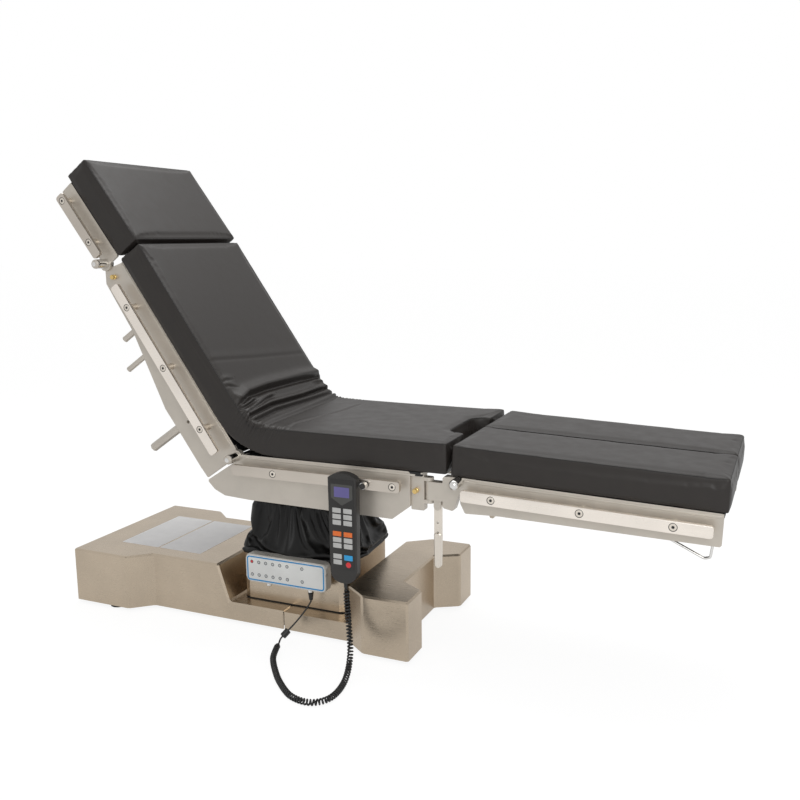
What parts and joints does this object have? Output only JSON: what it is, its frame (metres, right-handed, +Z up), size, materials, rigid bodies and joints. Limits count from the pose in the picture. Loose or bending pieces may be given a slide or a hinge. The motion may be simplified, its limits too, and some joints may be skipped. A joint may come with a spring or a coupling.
{
  "type": "operating table",
  "caption": "Electro-hydraulic operating table with a lifting, tilting column, hinged back and head sections, split spreading leg sections, padded tops and a corded hand control.",
  "frame": {"origin": "on the floor under the middle of the table's overall length, on the column's middle plane", "axes": "+X towards the foot end, +Y to the patient's left side with the hand control on the -Y side, +Z up"},
  "size_m": [1.8395, 0.8045, 1.2947],
  "materials": {
    "pad_cover": "satin",
    "rail_steel": "brushed",
    "frame_paint": "satin",
    "brushed_steel": "brushed",
    "bellows_cover": "matt",
    "chassis_iron": "matt",
    "foot_rubber": "matt",
    "chrome": "polished",
    "wheel_rubber": "matt",
    "column_steel": "ground",
    "box_paint": "satin",
    "panel_film": "satin",
    "dark_plastic": "satin",
    "keypad_plastic": "satin",
    "cord_cover": "satin",
    "brass": "polished",
    "lever_steel": "satin"
  },
  "bodies": {
    "base": {"base_chassis": "chassis_iron", "base_head_cover": "brushed_steel", "base_middle_cover": "brushed_steel", "base_foot_cover": "brushed_steel", "battery_pack": "dark_plastic", "pump_unit": "chassis_iron", "column_outer_stage": "column_steel", "column_cover": "brushed_steel", "bellows": "bellows_cover", "control_box": "box_paint", "control_panel": "panel_film", "cord_plug": "cord_cover", "cord_lead": "cord_cover", "cord_ferrite": "cord_cover", "cord_curly": "cord_cover", "cord_tail": "cord_cover"},
    "column_middle": {"column_middle_stage": "column_steel"},
    "column_head": {"column_head": "column_steel"},
    "tilt_cross": {"tilt_cross": "chassis_iron"},
    "seat": {"seat_frame": "frame_paint", "seat_rail_left": "rail_steel", "seat_rail_right": "rail_steel", "seat_pad": "pad_cover"},
    "back": {"back_frame": "frame_paint", "back_rail_left": "rail_steel", "back_rail_right": "rail_steel", "back_pad": "pad_cover"},
    "head": {"head_frame": "frame_paint", "head_rail_left": "rail_steel", "head_rail_right": "rail_steel", "head_pad": "pad_cover"},
    "handset": {"handset_body": "dark_plastic", "handset_keypad": "keypad_plastic", "handset_hook": "chrome"},
    "leg_clevis_left": {"leg_clevis_left": "frame_paint"},
    "leg_left": {"leg_frame_left": "frame_paint", "leg_rail_left": "rail_steel", "leg_pad_left": "pad_cover"},
    "leg_lever_left": {"leg_lever_left": "lever_steel"},
    "leg_plunger_left": {"leg_plunger_left": "brass"},
    "head_plunger_left": {"head_plunger_left": "brass"},
    "leg_clevis_right": {"leg_clevis_right": "frame_paint"},
    "leg_right": {"leg_frame_right": "frame_paint", "leg_rail_right": "rail_steel", "leg_pad_right": "pad_cover"},
    "leg_lever_right": {"leg_lever_right": "lever_steel"},
    "leg_plunger_right": {"leg_plunger_right": "brass"},
    "head_plunger_right": {"head_plunger_right": "brass"},
    "brake_foot_head_left": {"brake_foot_head_left": "foot_rubber"},
    "castor_fork_head_left": {"castor_fork_head_left": "chrome"},
    "castor_wheel_head_left": {"castor_wheel_head_left": "wheel_rubber"},
    "brake_foot_head_right": {"brake_foot_head_right": "foot_rubber"},
    "castor_fork_head_right": {"castor_fork_head_right": "chrome"},
    "castor_wheel_head_right": {"castor_wheel_head_right": "wheel_rubber"},
    "brake_foot_foot_left": {"brake_foot_foot_left": "foot_rubber"},
    "castor_fork_foot_left": {"castor_fork_foot_left": "chrome"},
    "castor_wheel_foot_left": {"castor_wheel_foot_left": "wheel_rubber"},
    "brake_foot_foot_right": {"brake_foot_foot_right": "foot_rubber"},
    "castor_fork_foot_right": {"castor_fork_foot_right": "chrome"},
    "castor_wheel_foot_right": {"castor_wheel_foot_right": "wheel_rubber"}
  },
  "joints": [
    {"name": "column_lift", "type": "slide", "parent": "base", "child": "column_head", "axis": [0, 0, 1], "range_m": [0, 0.3], "deforming": ["bellows", "cord_curly", "cord_tail"]},
    {"name": "column_middle_lift", "type": "slide", "parent": "base", "child": "column_middle", "axis": [0, 0, 1], "range_m": [0, 0.15]},
    {"name": "trendelenburg_tilt", "type": "hinge", "parent": "column_head", "child": "tilt_cross", "pos_m": [-0.22121, 0, 0.435], "axis": [0, 1, 0], "range_deg": [-25, 16]},
    {"name": "lateral_tilt", "type": "hinge", "parent": "tilt_cross", "child": "seat", "pos_m": [-0.22121, 0, 0.435], "axis": [1, 0, 0], "range_deg": [-15, 15]},
    {"name": "handset_swing", "type": "hinge", "parent": "seat", "child": "handset", "pos_m": [0.02054, -0.2614, 0.475], "axis": [1, 0, 0], "range_deg": [-15, 15]},
    {"name": "back_hinge", "type": "hinge", "parent": "seat", "child": "back", "pos_m": [-0.32746, 0, 0.503], "axis": [0, -1, 0], "range_deg": [-19.5, 70.5]},
    {"name": "head_hinge", "type": "hinge", "parent": "back", "child": "head", "pos_m": [-0.7305, 0, 1.0135], "axis": [0, -1, 0], "range_deg": [-2, 88]},
    {"name": "leg_spread_left", "type": "hinge", "parent": "seat", "child": "leg_clevis_left", "pos_m": [0.22354, 0.2169, 0.4645], "axis": [0, 0, 1], "range_deg": [0, 45]},
    {"name": "leg_tilt_left", "type": "hinge", "parent": "leg_clevis_left", "child": "leg_left", "pos_m": [0.30554, 0.2169, 0.498], "axis": [0, -1, 0], "range_deg": [-90, 4]},
    {"name": "leg_lever_left", "type": "hinge", "parent": "leg_clevis_left", "child": "leg_lever_left", "pos_m": [0.24554, 0.2169, 0.425], "axis": [0, 1, 0], "range_deg": [-8, 30]},
    {"name": "leg_plunger_left", "type": "slide", "parent": "seat", "child": "leg_plunger_left", "axis": [0, 1, 0], "range_m": [0, 0.006], "stiffness_N_per_m": 600},
    {"name": "head_plunger_left", "type": "slide", "parent": "back", "child": "head_plunger_left", "axis": [0, 1, 0], "range_m": [0, 0.006], "stiffness_N_per_m": 600},
    {"name": "leg_spread_right", "type": "hinge", "parent": "seat", "child": "leg_clevis_right", "pos_m": [0.22354, -0.2169, 0.4645], "axis": [0, 0, -1], "range_deg": [0, 45]},
    {"name": "leg_tilt_right", "type": "hinge", "parent": "leg_clevis_right", "child": "leg_right", "pos_m": [0.30554, -0.2169, 0.498], "axis": [0, -1, 0], "range_deg": [-90, 4]},
    {"name": "leg_lever_right", "type": "hinge", "parent": "leg_clevis_right", "child": "leg_lever_right", "pos_m": [0.24554, -0.2169, 0.425], "axis": [0, 1, 0], "range_deg": [-8, 30]},
    {"name": "leg_plunger_right", "type": "slide", "parent": "seat", "child": "leg_plunger_right", "axis": [0, -1, 0], "range_m": [0, 0.006], "stiffness_N_per_m": 600},
    {"name": "head_plunger_right", "type": "slide", "parent": "back", "child": "head_plunger_right", "axis": [0, -1, 0], "range_m": [0, 0.006], "stiffness_N_per_m": 600},
    {"name": "brake_head_left", "type": "slide", "parent": "base", "child": "brake_foot_head_left", "axis": [0, 0, 1], "range_m": [0, 0.008]},
    {"name": "castor_swivel_head_left", "type": "hinge", "parent": "base", "child": "castor_fork_head_left", "pos_m": [-0.82346, 0.13, 0.07], "axis": [0, 0, 1], "continuous": true},
    {"name": "castor_spin_head_left", "type": "hinge", "parent": "castor_fork_head_left", "child": "castor_wheel_head_left", "pos_m": [-0.80746, 0.13, 0.033], "axis": [0, 1, 0], "continuous": true},
    {"name": "brake_head_right", "type": "slide", "parent": "base", "child": "brake_foot_head_right", "axis": [0, 0, 1], "range_m": [0, 0.008]},
    {"name": "castor_swivel_head_right", "type": "hinge", "parent": "base", "child": "castor_fork_head_right", "pos_m": [-0.82346, -0.13, 0.07], "axis": [0, 0, 1], "continuous": true},
    {"name": "castor_spin_head_right", "type": "hinge", "parent": "castor_fork_head_right", "child": "castor_wheel_head_right", "pos_m": [-0.80746, -0.13, 0.033], "axis": [0, 1, 0], "continuous": true},
    {"name": "brake_foot_left", "type": "slide", "parent": "base", "child": "brake_foot_foot_left", "axis": [0, 0, 1], "range_m": [0, 0.008]},
    {"name": "castor_swivel_foot_left", "type": "hinge", "parent": "base", "child": "castor_fork_foot_left", "pos_m": [0.03854, 0.13, 0.07], "axis": [0, 0, 1], "continuous": true},
    {"name": "castor_spin_foot_left", "type": "hinge", "parent": "castor_fork_foot_left", "child": "castor_wheel_foot_left", "pos_m": [0.05454, 0.13, 0.033], "axis": [0, 1, 0], "continuous": true},
    {"name": "brake_foot_right", "type": "slide", "parent": "base", "child": "brake_foot_foot_right", "axis": [0, 0, 1], "range_m": [0, 0.008]},
    {"name": "castor_swivel_foot_right", "type": "hinge", "parent": "base", "child": "castor_fork_foot_right", "pos_m": [0.03854, -0.13, 0.07], "axis": [0, 0, 1], "continuous": true},
    {"name": "castor_spin_foot_right", "type": "hinge", "parent": "castor_fork_foot_right", "child": "castor_wheel_foot_right", "pos_m": [0.05454, -0.13, 0.033], "axis": [0, 1, 0], "continuous": true}
  ],
  "couplings": [
    {"joint": "column_middle_lift", "follows": "column_lift", "ratio": 0.5},
    {"joint": "handset_swing", "follows": "lateral_tilt", "ratio": -1},
    {"joint": "brake_head_right", "follows": "brake_head_left", "ratio": 1},
    {"joint": "brake_foot_left", "follows": "brake_head_left", "ratio": 1},
    {"joint": "brake_foot_right", "follows": "brake_head_left", "ratio": 1}
  ]
}
